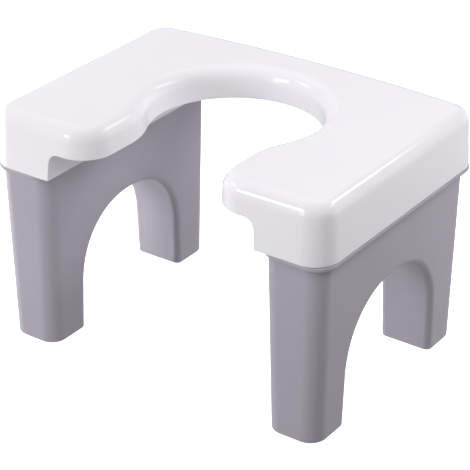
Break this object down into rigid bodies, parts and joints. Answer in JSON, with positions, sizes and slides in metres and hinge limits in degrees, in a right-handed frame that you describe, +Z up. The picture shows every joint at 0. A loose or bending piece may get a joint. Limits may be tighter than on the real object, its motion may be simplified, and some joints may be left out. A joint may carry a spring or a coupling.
{
  "type": "toilet stool",
  "caption": "Low plastic stool with a keyhole seat open at the front, on two broad arched legs, for use over a floor pan.",
  "frame": {"origin": "on the floor, under the centre of the stool's box", "axes": "+Z up, -Y towards the keyhole's open front, +X towards the right side as seen from the front"},
  "size_m": [0.45, 0.3316, 0.291],
  "materials": {
    "white_plastic": "smooth and glossy",
    "grey_plastic": "fine satin grain",
    "pad_rubber": "matte",
    "screw_steel": "zinc plated"
  },
  "bodies": {
    "root": {"seat_shell": "white_plastic", "left_leg": "grey_plastic", "right_leg": "grey_plastic", "left_front_foot_pad": "pad_rubber", "left_back_foot_pad": "pad_rubber", "right_front_foot_pad": "pad_rubber", "right_back_foot_pad": "pad_rubber", "left_front_screw": "screw_steel", "left_back_screw": "screw_steel", "right_front_screw": "screw_steel", "right_back_screw": "screw_steel"}
  },
  "joints": []
}
